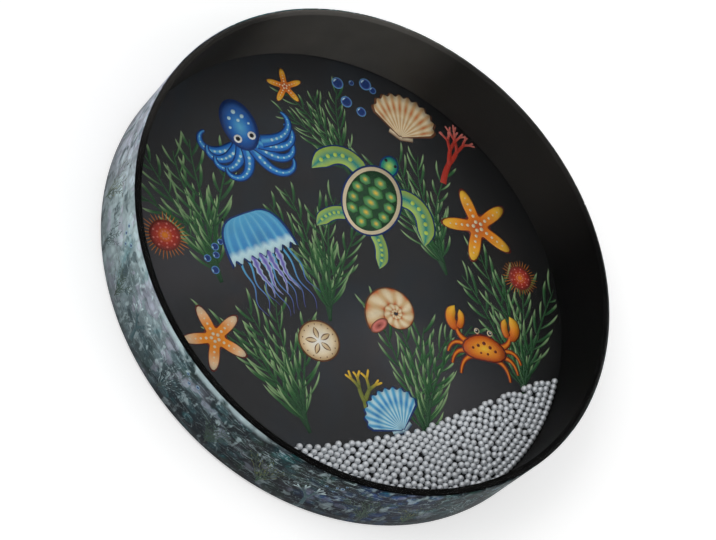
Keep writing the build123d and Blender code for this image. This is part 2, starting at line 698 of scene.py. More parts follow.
def lathe(profile: Array, segments: int) -> Surface:
    """A profile turned about the Z axis: (r, z) at angle t goes to (r cos t, r sin t, z).

    Args:
        profile: points (r, z), counterclockwise round the section. With r = 0 at both ends those ends are
            single points, and otherwise the profile closes on itself.
        segments: steps in the turn.

    Returns:
        The closed surface.
    """
    turn = np.linspace(0, FULL_TURN, segments, endpoint=False)[:, None]
    tipped = bool(profile[0, 0] == 0 and profile[-1, 0] == 0)
    ring = profile[1:-1] if tipped else profile
    points = spun(ring[None, :, 0], turn, ring[None, :, 1])
    index = np.arange(len(points)).reshape(segments, len(ring))
    if tipped:
        tips = np.array([[0, 0, profile[0, 1]], [0, 0, profile[-1, 1]]])
        first, last = (np.full((segments, 1), len(points) + k) for k in (0, 1))
        index = np.hstack([first, index, last])
        points = np.vstack([points, tips])
    return Surface(points, *faces_of(index, True, not tipped))


@dataclass
class Hoop:
    """The black shell between the heads, with its bearing edges bevelled both ways."""

    wall: float = 5.0 * MM
    counter: float = 2.0 * MM
    crown: float = 1.0 * MM
    ease: float = 0.7 * MM
    segments: int = 288

    def profile(self) -> Array:
        """The wall's section: a tall rectangle bevelled outside by counter and inside up to the crown.

        Returns:
            Points (r, z).
        """
        low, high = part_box("shell")
        outer, bottom, top = high.x, low.z, high.z
        bore, inner = outer - self.wall, self.wall - self.counter - self.crown
        corners = np.array([
            (bore, bottom + inner), (bore + inner, bottom), (outer - self.counter, bottom),
            (outer, bottom + self.counter), (outer, top - self.counter), (outer - self.counter, top),
            (bore + inner, top), (bore, top - inner),
        ])
        return round_corners(corners, self.ease, closed=True)

    def build(self) -> None:
        """Turns the section and puts it in the CAD shell's place."""
        made = lathe(self.profile(), self.segments).piece("hoop", BlackHoopFinish("black_lacquer"), Slot.HOOP)
        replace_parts(made, "shell")


@dataclass
class FilmHead:
    """A film head: a flat disc that folds over the bearing edge into a collar glued round the hoop."""

    side: Side
    film: float = 0.25 * MM
    collar: float = 18.0 * MM
    fold: float = 2.0 * MM
    ease: float = 0.9 * MM
    rings: Spot = (0.3, 0.9)
    segments: int = 288

    def profile(self) -> Array:
        """The lower head's section, out along its outer face and back along its inner one; the upper head's
        is that section mirrored and walked the other way.

        Returns:
            Points (r, z).
        """
        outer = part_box(self.side.value)[1].x
        inner, lip = outer - self.film, self.film * math.tan(math.pi / 8)
        face = outer - self.fold - self.film
        rise = self.fold + self.film
        far = [(share * outer, 0.0) for share in self.rings]
        out = [(0.0, 0.0), *far, (face + lip, 0.0), (outer, rise - lip), (outer, self.collar)]
        back = [(inner, self.collar), (inner, rise), (face, self.film)]
        back += [(r, self.film) for r, _ in reversed(far)] + [(0.0, self.film)]
        section = round_corners(np.array(out + back), self.ease, 4)
        if self.side is Side.UPPER:
            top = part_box(self.side.value)[1].z
            section = np.stack([section[::-1, 0], top - section[::-1, 1]], -1)
        return section

    def build(self, finish: Finish, slot: Slot) -> None:
        """Turns the section into the head, of clear film or printed ground."""
        made = lathe(self.profile(), self.segments).piece(f"{self.side.value}_film", finish, slot)
        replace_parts(made, self.side.value)


@dataclass
class Wrap:
    """The printed sheet glued round the hoop between the collars' edges, with a butt seam."""

    sheet: float = 0.5 * MM
    seam: float = 0.8 * MM
    ink_room: float = 0.12 * MM
    columns: int = 360
    rows: int = 9

    @property
    def radius(self) -> float:
        """The sheet's outer radius, less what the ink on it takes up."""
        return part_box("shell_wrap")[1].x - self.ink_room

    def build(self) -> None:
        """A grid of angle by height on a cylinder, from one side of the seam to the other, made solid
        inwards."""
        low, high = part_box("shell_wrap")
        gap = self.seam / 2 / self.radius
        turn = np.linspace(gap, FULL_TURN - gap, self.columns)[:, None]
        height = np.linspace(low.z, high.z, self.rows)[None, :]
        index = np.arange(self.columns * self.rows).reshape(self.columns, self.rows)
        sheet = Surface(spun(self.radius, turn, height), *faces_of(index))
        made = sheet.piece("wrap_sheet", WrapFinish("wrap_print"), Slot.WRAP)
        thick = made.modifiers.new("sheet", "SOLIDIFY")
        thick.thickness, thick.offset = self.sheet - self.ink_room, -1.0
        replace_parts(made, "shell_wrap")


@dataclass
class BallCharge:
    """The steel balls, row by row where the CAD rows lie."""

    plump: float = 0.13 * MM
    slices: int = 10
    rings: int = 5
    seed: int = 7

    def ball(self, radius: float) -> Surface:
        """A ball: half a circle, (cos b, sin b) from pole to pole, turned about the Z axis and scaled.

        Args:
            radius: the ball's radius, in metres.

        Returns:
            Its surface, about the origin.
        """
        half = unit(np.linspace(-math.pi / 2, math.pi / 2, self.rings + 2))
        half[[0, -1], 0] = 0.0  # the poles lie on the axis
        made = lathe(half, self.slices)
        made.points *= radius
        return made

    @staticmethod
    def centres(node: str, radius: float) -> Array:
        """Where a row's balls lie.

        A facet's corners A, B and C are on the ball, so its middle lies behind their circumcentre
        O = A + (|b|^2 c - |c|^2 b) x n / (2 |n|^2), with b = B - A, c = C - A and n = b x c, by the root of
        radius^2 - |O - A|^2. Middles within a radius of each other are one ball.

        Args:
            node: the CAD row.
            radius: its balls' radius.

        Returns:
            One middle for each ball.
        """
        mesh = frame["nodes"][node].data
        points = np.empty(len(mesh.vertices) * 3, np.float32)
        mesh.vertices.foreach_get("co", points)
        corners = points.reshape(-1, 3).astype(float)[[list(face.vertices[:3]) for face in mesh.polygons]]
        b, c = corners[:, 1] - corners[:, 0], corners[:, 2] - corners[:, 0]
        normal = np.cross(b, c)
        area = np.sum(normal ** 2, axis=1, keepdims=True)
        along = np.sum(b ** 2, axis=1, keepdims=True) * c - np.sum(c ** 2, axis=1, keepdims=True) * b
        out = np.cross(along, normal) / (2 * area)
        under = np.sqrt(np.maximum(radius ** 2 - np.sum(out ** 2, axis=1, keepdims=True), 0.0))
        middles = corners[:, 0] + out - normal / np.sqrt(area) * under
        same = np.linalg.norm(middles[:, None] - middles[None], axis=2) < radius
        return middles[np.unique(same.argmax(axis=1))]

    def build(self) -> None:
        """Makes one piece of each row, riding on that row's body."""
        draw = np.random.default_rng(self.seed)
        low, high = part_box("ball_row_01")
        radius = (high.z - low.z) / 2
        ball = self.ball(radius + self.plump)
        finish = SteelFinish("tumbled_steel")
        for body, nodes in frame["record"]["behaviour"]["bodies"].items():
            for node in (n for n in nodes if n.startswith("ball_row")):
                centres = self.centres(node, radius)
                start = (np.arange(len(centres)) * len(ball.points))[:, None, None]
                row = Surface(
                    (centres[:, None] + ball.points).reshape(-1, 3),
                    (ball.quads + start).reshape(-1, 4),
                    (ball.triangles + start).reshape(-1, 3),
                    tones=np.repeat(draw.random(len(centres)), len(ball.points)),
                )
                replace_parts(row.piece(node.replace("ball", "steel"), finish, Slot.STEEL, body), node)


# The print: flat patches of ink on a sheet, which make up creatures, shells, coral and weed of the sea.


def ramp(share: Array, *stops: Stop) -> Array:
    """Colours along a run of inks, blended in straight lines between the stops.

    Args:
        share: where along the run, any shape.
        stops: places and inks, in order.

    Returns:
        Linear colours, with one more axis than share.
    """
    places = [place for place, _ in stops]
    inks = np.array([paint.linear for _, paint in stops])
    return np.stack([np.interp(share, places, inks[:, c]) for c in range(3)], axis=-1)


def plain(paint: Paint) -> Tint:
    """One ink all over a patch."""
    return lambda first, _: np.broadcast_to(paint.linear, (*first.shape, 3))


def fade(*stops: Stop) -> Tint:
    """Inks that change along a patch's first parameter."""
    return lambda first, _: ramp(first, *stops)


def edged(*stops: Stop) -> Tint:
    """Inks that change from the middle of a strip to both its edges."""
    return lambda _, second: ramp(np.abs(second), *stops)


@dataclass
class Ink:
    """One patch of ink: a grid of points on the sheet with a colour at each."""

    points: Array
    colours: Array
    layer: int
    ring: bool = False
    tipped: bool = False

    def moved(self, size: float, turn: float, at: Spot, lift: int) -> "Ink":
        """The patch scaled, turned and shifted on the sheet, in a higher layer, its face kept up.

        Args:
            size: what one unit becomes.
            turn: the turn in radians, counterclockwise.
            at: where the origin goes.
            lift: layers to go up.

        Returns:
            The patch in its place.
        """
        points, colours = turned(self.points, turn) * size + np.array(at), self.colours
        down, along = points[1:, :-1] - points[:-1, :-1], points[1:, 1:] - points[1:, :-1]
        if np.sum(down[..., 0] * along[..., 1] - down[..., 1] * along[..., 0]) < 0:
            points, colours = points[:, ::-1], colours[:, ::-1]
        return Ink(points, colours, self.layer + lift, self.ring, self.tipped)

    def flipped(self) -> "Ink":
        """The patch seen in a mirror along the vertical."""
        return Ink(self.points * (-1, 1), self.colours, self.layer, self.ring, self.tipped)

    def numbered(self, start: int) -> tuple[Array, Array, Array]:
        """The patch's points in one run; those of a tipped patch's first row are one point.

        Args:
            start: the first point's number.

        Returns:
            The points, their colours, and the grid of their numbers.
        """
        rows, columns = self.points.shape[:2]
        skipped = columns - 1 if self.tipped else 0
        run = np.arange(rows * columns).reshape(rows, columns) - skipped
        index = np.maximum(run, 0) + start
        return self.points.reshape(-1, 2)[skipped:], self.colours.reshape(-1, 3)[skipped:], index


def grid(rows: int, columns: int) -> tuple[Array, Array]:
    """Two parameters from 0 to 1, down the rows and along the columns."""
    return np.meshgrid(np.linspace(0, 1, rows), np.linspace(0, 1, columns), indexing="ij")


def lobe(
    reach: Callable[[Array], Array],
    tint: Tint,
    layer: int,
    at: Spot = (0.0, 0.0),
    stretch: Spot = (1.0, 1.0),
    turn: float = 0.0,
    rings: int = 3,
    spokes: int = 36,
) -> Ink:
    """A patch round a point: share p of the way out at angle a, it lies p * reach(a) from the middle.

    Args:
        reach: the outline's distance at each angle.
        tint: inks by p and a.
        layer: the ink's layer.
        at: the middle.
        stretch: scale along x and y, before the turn.
        turn: radians, counterclockwise.
        rings: steps outwards.
        spokes: steps round.

    Returns:
        The patch.
    """
    p = np.linspace(0, 1, rings + 1)[:, None] + np.zeros((1, spokes))
    a = np.linspace(0, FULL_TURN, spokes, endpoint=False)[None, :] + np.zeros((rings + 1, 1))
    flat = unit(a) * (p * reach(a))[..., None] * stretch
    return Ink(turned(flat, turn) + np.array(at), tint(p, a), layer, True, True)


def oval(at: Spot, wide: float, high: float, tint: Tint, layer: int, **more: Any) -> Ink:
    """An elliptic patch with half-axes wide and high."""
    return lobe(np.ones_like, tint, layer, at, (wide, high), **more)


def tile(at: Spot, wide: float, high: float, tint: Tint, layer: int, sides: int = 6) -> Ink:
    """A patch with straight sides: reach is cos(h) / cos(a mod 2h - h), where h is half a side's angle.

    Args:
        at: the middle.
        wide: half the width.
        high: half the height.
        tint: inks by the share of the way out.
        layer: the ink's layer.
        sides: how many sides.

    Returns:
        The patch.
    """
    half = math.pi / sides

    def reach(a: Array) -> Array:
        """Distance to the nearest side, held in a little at the corners."""
        return np.minimum(math.cos(half) / np.cos(a % (2 * half) - half), 0.95)

    return lobe(reach, tint, layer, at, (wide, high), spokes=6 * sides, rings=2)


def beads(places: Sequence[Spot] | Array, radii: float | Array, paint: Paint, layer: int) -> list[Ink]:
    """Small round dots of one ink, all of one size or each of its own."""
    sizes = np.broadcast_to(radii, len(places))
    return [oval(tuple(xy), r, r, plain(paint), layer, rings=1, spokes=10) for xy, r in zip(places, sizes)]


def strip(path: Array, half: Array, tint: Tint, layer: int, across: int = 2) -> Ink:
    """A strip along a path: at share t along it and s across it, from -1 to 1, path(t) + s half(t) normal(t).

    Args:
        path: points of the middle line.
        half: half the width at each point.
        tint: inks by t and s.
        layer: the ink's layer.
        across: steps across.

    Returns:
        The patch.
    """
    step = np.gradient(path, axis=0)
    normal = np.stack([-step[:, 1], step[:, 0]], -1) / np.linalg.norm(step, axis=1, keepdims=True)
    t, s = grid(len(path), across + 1)
    s = 2 * s - 1
    points = path[:, None] + s[..., None] * half[:, None, None] * normal[:, None]
    return Ink(points, tint(t, s), layer)


def sweep(*controls: Spot | Array, steps: int = 12) -> Array:
    """A Bezier curve: the sum over k of binomial(n, k) t^k (1-t)^(n-k) times control k.

    Args:
        controls: the control points.
        steps: points on the curve.

    Returns:
        The points.
    """
    t = np.linspace(0, 1, steps)[:, None]
    k = np.arange(len(controls))[None, :]
    last = len(controls) - 1
    counts = np.array([math.comb(last, j) for j in range(last + 1)])
    return (counts * t ** k * (1 - t) ** (last - k)) @ np.array(controls)


def blade(path: Array, half: float, tint: Tint, layer: int, root: float = 0.0) -> Ink:
    """A leaf-shaped strip: half times root (1 - t^3) + sin(pi t)^0.8, up to 1, so it ends in a point.

    Args:
        path: points of the middle line.
        half: half the width at the widest.
        tint: inks by the shares along and across.
        layer: the ink's layer.
        root: how wide the leaf starts, as a share of its widest.

    Returns:
        The patch.
    """
    t = np.linspace(0, 1, len(path))
    wide = np.minimum(root * (1 - t ** 3) + np.sin(math.pi * t) ** 0.8, 1.0)
    return strip(path, half * np.maximum(wide, 0.02), tint, layer)


def mirrored(inks: Sequence[Ink]) -> list[Ink]:
    """Patches with their mirror images."""
    return [*inks, *(ink.flipped() for ink in inks)]


@dataclass
class Motif(ABC):
    """A printed figure, drawn about its own middle with one unit for half its height."""

    at: Spot
    size: float
    turn: float = 0.0
    lift: int = Bed.FRONT
    seed: int = 1

    @abstractmethod
    def inks(self) -> list[Ink]:
        """Draws the figure.

        Returns:
            Its patches, in units.
        """

    def printed(self) -> list[Ink]:
        """The patches in place, in millimetres on the sheet."""
        return [ink.moved(self.size, math.radians(self.turn), self.at, self.lift) for ink in self.inks()]


@dataclass
class Starfish(Motif):
    """Five tapered arms with rows of beads."""

    heart: Paint = Paint.RUST
    tip: Paint = Paint.YELLOW
    edge: Paint = Paint.BRICK
    bead: Paint = Paint.CREAM

    @staticmethod
    def reach(a: Array) -> Array:
        """The outline: 0.3 plus 0.7 of a raised cosine that peaks at each arm."""
        return 0.30 + 0.70 * (0.5 + 0.5 * np.cos(5 * (a - math.pi / 2))) ** 1.7

    def inks(self) -> list[Ink]:
        """A dark edge, the body from heart to tip, and the beads.

        Returns:
            Its patches, in units.
        """
        under = lobe(lambda a: self.reach(a) + 0.06, plain(self.edge), 0, rings=2, spokes=90)

        def tint(p: Array, a: Array) -> Array:
            """Heart to tip by the distance from the middle."""
            return ramp(p * self.reach(a), (0.0, self.heart), (0.45, Paint.ORANGE), (1.0, self.tip))

        body = lobe(self.reach, tint, 1, rings=5, spokes=90)
        arm, step = np.meshgrid(np.arange(5), np.arange(5))
        way, far = math.pi / 2 + arm.ravel() * FULL_TURN / 5, 0.12 + 0.165 * step.ravel()
        return [under, body, *beads(unit(way) * far[:, None], 0.058 - 0.045 * far, self.bead, 2)]


@dataclass
class Scallop(Motif):
    """A fan shell with coloured ribs and growth bands."""

    light: Paint = Paint.CREAM
    middle: Paint = Paint.SAND
    dark: Paint = Paint.RUST
    edge: Paint = Paint.BROWN
    ribs: int = 11

    def fan(self, spare: float, tint: Tint, layer: int) -> Ink:
        """A sector of a disc, its rim waved once for each rib.

        Args:
            spare: how much wider than the shell it is.
            tint: inks by the shares outwards and across.
            layer: the ink's layer.

        Returns:
            The patch.
        """
        u, v = grid(7, 12 * self.ribs + 1)
        far = (0.06 + (1.44 + spare) * u) * (1 + 0.03 * np.cos(FULL_TURN * self.ribs * (v - 0.5)))
        far = far * (1 - 0.22 * (2 * v - 1) ** 4)
        way = (2 * v - 1) * (1.08 + 0.6 * spare)
        points = np.stack([far * np.sin(way), far * np.cos(way) - 0.62 - 0.5 * spare], -1)
        return Ink(points, tint(u, v), layer)

    def inks(self) -> list[Ink]:
        """The hinge's ears, a dark edge, and the ribbed fan.

        Returns:
            Its patches, in units.
        """

        def tint(u: Array, v: Array) -> Array:
            """Rib stripes crossed by bands of growth.

            Args:
                u: shares of the way out.
                v: shares of the way across.

            Returns:
                Linear colours.
            """
            rib = 0.5 + 0.5 * np.cos(FULL_TURN * self.ribs * (v - 0.5))
            band = 0.5 + 0.5 * np.cos(FULL_TURN * 3.4 * u ** 1.3)
            stops = (0.1, self.light), (0.62, self.middle), (1.05, self.dark)
            return ramp(0.62 * rib + 0.5 * band * u, *stops)

        ear = strip(np.array([(-0.42, -0.52), (0.0, -0.60), (0.42, -0.52)]), np.array([0.1, 0.14, 0.1]),
                    edged((0.0, self.light), (1.0, self.edge)), 0)
        return [ear, self.fan(0.07, plain(self.edge), 1), self.fan(0.0, tint, 2)]


@dataclass
class SpiralShell(Motif):
    """A coiled shell whose whorls grow by the same ratio at each turn."""

    light: Paint = Paint.CREAM
    dark: Paint = Paint.RUST
    edge: Paint = Paint.BROWN
    turns: float = 2.5
    growth: float = 2.6

    def inks(self) -> list[Ink]:
        """The mouth, a dark edge, and the whorl from r / growth to r, where r = growth ^ (turns left).

        Returns:
            Its patches, in units.
        """
        t = np.linspace(0, 1, 120)
        way = FULL_TURN * self.turns * t
        outer = self.growth ** (self.turns * (t - 1))
        inner = outer / self.growth
        path = unit(way) * ((outer + inner) / 2)[:, None]

        def tint(t: Array, s: Array) -> Array:
            """Flames that cross the whorl, shaded towards its seam.

            Args:
                t: shares of the way along.
                s: shares of the way across, from -1 to 1.

            Returns:
                Linear colours.
            """
            flame = 0.5 + 0.5 * np.sin(FULL_TURN * 9 * self.turns * t + 1.4 * s)
            stops = (0.1, self.light), (0.55, Paint.SAND), (0.95, self.dark)
            return ramp(0.55 * flame + 0.45 * s ** 2, *stops)

        lip = fade((0.0, Paint.BRICK), (0.7, Paint.PINK), (1.0, self.edge))
        mouth = oval(tuple(path[-1]), 0.33, 0.16, lip, 2)
        under = strip(path, (outer - inner) / 2 + 0.05 * outer, plain(self.edge), 0, 2)
        return [under, strip(path, (outer - inner) / 2, tint, 1, 6), mouth]


@dataclass
class Jellyfish(Motif):
    """A bell with ribs of light, frilled arms and fine tentacles."""

    bell: Paint = Paint.BLUE
    glow: Paint = Paint.SKY
    rim: Paint = Paint.ICE
    trail: Paint = Paint.VIOLET

    def inks(self) -> list[Ink]:
        """Tentacles and arms that sway as sine waves, under a domed bell with a scalloped rim.

        Returns:
            Its patches, in units.
        """
        draw = np.random.default_rng(self.seed)
        t = np.linspace(0, 1, 22)
        made = []
        for layer, x in enumerate(np.linspace(-0.5, 0.5, 9)):
            sway = 0.05 * np.sin(FULL_TURN * (1.6 * t + draw.random())) * (0.3 + t)
            path = np.stack([x * (1 + 0.15 * t) + sway, 0.16 - draw.uniform(0.9, 1.2) * t], -1)
            made.append(strip(path, 0.020 * (1.15 - t), fade((0, self.glow), (1, self.trail)), layer, 1))
        frilled = edged((0, self.trail), (0.7, Paint.LILAC), (1, self.rim))
        for layer, x in enumerate((-0.24, -0.08, 0.08, 0.24), 9):
            sway = 0.06 * np.sin(FULL_TURN * (1.1 * t + draw.random()))
            frill = (0.07 + 0.022 * np.sin(FULL_TURN * 6 * t)) * (1.08 - t)
            path = np.stack([x + sway * t, 0.2 - draw.uniform(0.75, 0.95) * t], -1)
            made.append(strip(path, frill, frilled, layer, 4))
        v, u = grid(12, 49)
        side = 2 * u - 1
        x = 0.66 * side * np.cos(v * math.pi / 2) ** 0.5
        y = 0.16 + 0.76 * np.sin(v * math.pi / 2) - 0.05 * (1 - v) ** 6 * np.cos(FULL_TURN * 8 * u)
        rib = np.exp(-(((side * 3.5 + 0.5) % 1 - 0.5) / 0.16) ** 2) * (1 - v)
        colours = ramp(0.15 + 0.45 * v + 0.5 * rib, (0.0, self.bell), (0.55, self.glow), (1.0, self.rim))
        colours = np.where((v < 0.1)[..., None], self.rim.linear, colours)
        dome = Ink(np.stack([x, y], -1), colours, 14)
        under = Ink(np.stack([x * 1.07, 0.13 + (y - 0.13) * 1.06 - 0.02], -1), plain(Paint.NAVY)(v, u), 13)
        return [*made, under, dome]


@dataclass
class Turtle(Motif):
    """A sea turtle from above: a tiled shell, four flippers and a head."""

    skin: Paint = Paint.REEF
    spot: Paint = Paint.LIME
    rim: Paint = Paint.CREAM

    def flipper(self, controls: Sequence[Spot], half: float) -> list[Ink]:
        """A flipper along a curve, dark with a pale edge and a row of spots.

        Args:
            controls: the curve's control points.
            half: half its width.

        Returns:
            Its patches.
        """
        path = sweep(*controls, steps=16)
        return [
            blade(path, half * 1.18, plain(Paint.NAVY), 0, 0.55),
            blade(path, half, edged((0, self.skin), (0.7, Paint.SEA_GREEN), (1, self.spot)), 1, 0.55),
            *beads(path[4:13:2], half * 0.26, self.spot, 2),
        ]

    def inks(self) -> list[Ink]:
        """Flippers, tail and head under the shell, and the shell's tiles in rows of four, five and four.

        Returns:
            Its patches, in units.
        """
        front = self.flipper([(0.26, 0.34), (0.70, 0.62), (0.95, 0.30), (1.02, -0.10)], 0.14)
        rear = self.flipper([(0.22, -0.42), (0.52, -0.52), (0.56, -0.92)], 0.10)
        head = [
            oval((0, 0.76), 0.155, 0.20, plain(Paint.NAVY), 0),
            oval((0, 0.76), 0.13, 0.175, fade((0, self.spot), (0.6, Paint.SEA_GREEN), (1, self.skin)), 1),
        ]
        eyes = mirrored(beads([(0.085, 0.83)], 0.028, Paint.INK, 2))

        def shell_reach(a: Array) -> Array:
            """An egg: an ellipse drawn in towards the tail."""
            return 1 + 0.07 * np.sin(a) - 0.03 * np.cos(2 * a)

        rim = fade((0, Paint.OLIVE), (0.86, self.rim), (1, self.rim))
        plates = (plain(Paint.NAVY), 0.50, 0.62), (rim, 0.47, 0.59), (plain(Paint.DEEP_LEAF), 0.41, 0.53)
        shell = [lobe(shell_reach, tint, layer, (0, 0), (wide, high), spokes=48)
                 for layer, (tint, wide, high) in enumerate(plates, 3)]
        glow = fade((0, Paint.YELLOW), (0.55, Paint.SEA_GREEN), (1, Paint.LEAF))
        spine = [tile((0, y), w, 0.11, glow, 6) for y, w in
                 ((0.40, 0.12), (0.20, 0.145), (0.0, 0.15), (-0.20, 0.135), (-0.39, 0.10))]
        sides = mirrored([tile((x, y), 0.105, 0.095, glow, 6) for x, y in
                          ((0.235, 0.30), (0.285, 0.11), (0.275, -0.09), (0.215, -0.27))])
        return [*mirrored(front + rear), *head, *eyes, *shell, *spine, *sides]


@dataclass
class Crab(Motif):
    """A crab from above, claws raised."""

    back: Paint = Paint.RUST
    glow: Paint = Paint.YELLOW
    edge: Paint = Paint.BRICK
    outline: float = 0.025

    def limb(self, controls: Sequence[Spot], half: float, layer: int) -> list[Ink]:
        """A tapered limb with a dark edge.

        Args:
            controls: control points of its curve.
            half: half its width at the root.
            layer: the layer of its edge.

        Returns:
            Its two patches.
        """
        path = sweep(*controls, steps=10)
        wide = half * np.linspace(1.0, 0.35, len(path))
        return [strip(path, wide + self.outline, plain(self.edge), layer),
                strip(path, wide, edged((0, Paint.ORANGE), (1, self.back)), layer + 1)]

    def claw(self, controls: Sequence[Spot], half: float, layer: int) -> list[Ink]:
        """One finger of a claw, bright at its tip, with a dark edge.

        Args:
            controls: control points of its curve.
            half: half its width at the widest.
            layer: the layer of its edge.

        Returns:
            Its two patches.
        """
        path, shine = sweep(*controls), fade((0, self.back), (0.5, Paint.ORANGE), (1, self.glow))
        return [blade(path, half + self.outline, plain(self.edge), layer, 0.6),
                blade(path, half, shine, layer + 1, 0.6)]

    @staticmethod
    def eye(at: Spot, layer: int) -> list[Ink]:
        """A dark eye in a pale ring, with a glint to one side.

        Args:
            at: the eye's middle.
            layer: the layer of its ring.

        Returns:
            Its three patches.
        """
        rings = (Paint.CREAM, 0.075, 0.0), (Paint.INK, 0.052, 0.0), (Paint.WHITE, 0.02, 0.016)
        return [ink for number, (paint, radius, aside) in enumerate(rings, layer)
                for ink in beads(np.array([at]) + aside, radius, paint, number)]

    def inks(self) -> list[Ink]:
        """Legs, arms and claws under a wide back with spots; the eyes stand on stalks.

        Returns:
            Its patches, in units.
        """
        half = [
            *self.limb(((0.4, 0.0), (0.85, 0.22), (0.98, -0.22)), 0.055, 0),
            *self.limb(((0.4, -0.12), (0.8, -0.05), (0.88, -0.5)), 0.055, 2),
            *self.limb(((0.32, -0.22), (0.62, -0.3), (0.66, -0.72)), 0.055, 4),
            *self.limb(((0.4, 0.12), (0.72, 0.2), (0.72, 0.5)), 0.075, 6),
            *self.claw(((0.70, 0.42), (1.02, 0.62), (0.74, 1.0)), 0.12, 8),
            *self.claw(((0.68, 0.45), (0.52, 0.62), (0.62, 0.92)), 0.08, 10),
            *self.limb(((0.14, 0.26), (0.15, 0.34), (0.17, 0.42)), 0.03, 12),
            *self.eye((0.175, 0.45), 14),
        ]

        def reach(a: Array) -> Array:
            """A wide oval, drawn out at its sides and flat behind."""
            return 1 + 0.10 * np.cos(2 * a) - 0.06 * np.sin(3 * a) + 0.012 * np.cos(18 * a)

        glow = fade((0, self.glow), (0.45, Paint.ORANGE), (1, self.back))
        back = [lobe(reach, tint, layer, (0, 0.02), stretch, spokes=72) for tint, layer, stretch in
                ((plain(self.edge), 17, (0.54, 0.38)), (glow, 18, (0.50, 0.34)))]
        spots = np.array([(0.0, 0.16), (0.16, 0.08), (-0.16, 0.08), (0.30, 0.0), (-0.30, 0.0), (0.09, -0.1),
                          (-0.09, -0.1)])
        return [*mirrored(half), *back, *beads(spots, np.linspace(0.05, 0.03, len(spots)), self.edge, 19)]


@dataclass
class Octopus(Motif):
    """A round mantle over eight arms that curl outwards."""

    skin: Paint = Paint.BLUE
    glow: Paint = Paint.SKY
    sucker: Paint = Paint.ICE

    def inks(self) -> list[Ink]:
        """Each arm is a strip whose heading turns as the way along to the power 2.2, under the mantle.

        Returns:
            Its patches, in units.
        """
        draw = np.random.default_rng(self.seed)
        skin = edged((0, self.glow), (0.5, self.skin), (1, self.skin))
        t = np.linspace(0, 1, 30)
        made = []
        for number in range(8):
            hand = -1 if number < 4 else 1
            rank = 3 - number if number < 4 else number - 4
            heading = -math.pi / 2 + hand * (0.18 + 0.42 * rank) + hand * draw.uniform(2.4, 3.6) * t ** 2.2
            length = draw.uniform(1.05, 1.3) - 0.06 * rank
            path = np.cumsum(unit(heading) * length / len(t), axis=0) + (hand * (0.05 + 0.07 * rank), 0.12)
            half = 0.10 * (1 - t) ** 0.75 + 0.012
            made.append(strip(path, half + 0.022, plain(Paint.NAVY), 3 * number, 1))
            made.append(strip(path, half, skin, 3 * number + 1, 4))
            made += beads(path[6:26:3], 0.034 * (1.1 - t[6:26:3]), self.sucker, 3 * number + 2)

        def reach(a: Array) -> Array:
            """An egg, broad end up."""
            return 1 + 0.10 * np.sin(a) - 0.05 * np.cos(2 * a)

        mantle = fade((0, self.glow), (0.5, self.skin), (1, Paint.NAVY))
        made.append(lobe(reach, plain(Paint.NAVY), 24, (0, 0.46), (0.37, 0.50)))
        made.append(lobe(reach, mantle, 25, (0, 0.46), (0.34, 0.47), rings=5))
        freckles = np.array([(0.0, 0.78), (0.13, 0.66), (-0.14, 0.68), (0.02, 0.60), (-0.2, 0.5), (0.2, 0.5)])
        made += beads(freckles, np.linspace(0.045, 0.025, 6), self.sucker, 26)
        for paint, radius, layer in ((Paint.WHITE, 0.085, 27), (Paint.INK, 0.045, 28)):
            made += mirrored(beads([(0.15, 0.26)], radius, paint, layer))
        return made


@dataclass
class Urchin(Motif):
    """A ball of spines with rings of dots."""

    spine: Paint = Paint.BRICK
    body: Paint = Paint.RED
    dot: Paint = Paint.PINK

    def inks(self) -> list[Ink]:
        """Spines as thin blades of uneven length round a shaded disc.

        Returns:
            Its patches, in units.
        """
        draw = np.random.default_rng(self.seed)
        made, shade = [], fade((0.2, self.spine), (1, Paint.ORANGE))
        for number, way in enumerate(np.linspace(0, FULL_TURN, 34, endpoint=False)):
            path = unit(way) * np.linspace(0.3, draw.uniform(0.82, 1.0), 6)[:, None]
            made.append(strip(path, 0.045 * np.linspace(1, 0.1, 6), shade, number % 2, 1))
        glow = fade((0, Paint.ORANGE), (0.5, self.body), (1, self.spine))
        made.append(oval((0, 0), 0.62, 0.62, glow, 2, rings=4))
        ring, step = np.meshgrid(np.array([0.16, 0.32, 0.48]), np.arange(9))
        way = step * FULL_TURN / 9 + ring * 4
        return made + beads((unit(way) * ring[..., None]).reshape(-1, 2), 0.042, self.dot, 3)


@dataclass
class SandDollar(Motif):
    """A flat round shell with five petals."""

    light: Paint = Paint.CREAM
    mark: Paint = Paint.SAND
    edge: Paint = Paint.BROWN

    def inks(self) -> list[Ink]:
        """A pale disc, five leaf-shaped petals and a ring of dots.

        Returns:
            Its patches, in units.
        """
        made = [
            oval((0, 0), 1.0, 0.96, plain(self.edge), 0, spokes=48),
            oval((0, 0), 0.93, 0.89, fade((0, Paint.WHITE), (0.7, self.light), (1, self.mark)), 1, spokes=48),
        ]
        for number, way in enumerate(math.pi / 2 + np.arange(5) * FULL_TURN / 5):
            path = unit(way) * np.linspace(0.1, 0.66, 9)[:, None]
            made.append(blade(path, 0.13, plain(self.edge), 2 + number))
            made.append(blade(path * 0.97, 0.085, fade((0, self.light), (1, self.mark)), 7 + number))
        way = np.arange(15) * FULL_TURN / 15 + 0.2
        return made + beads(unit(way) * 0.78, 0.03, self.edge, 2)


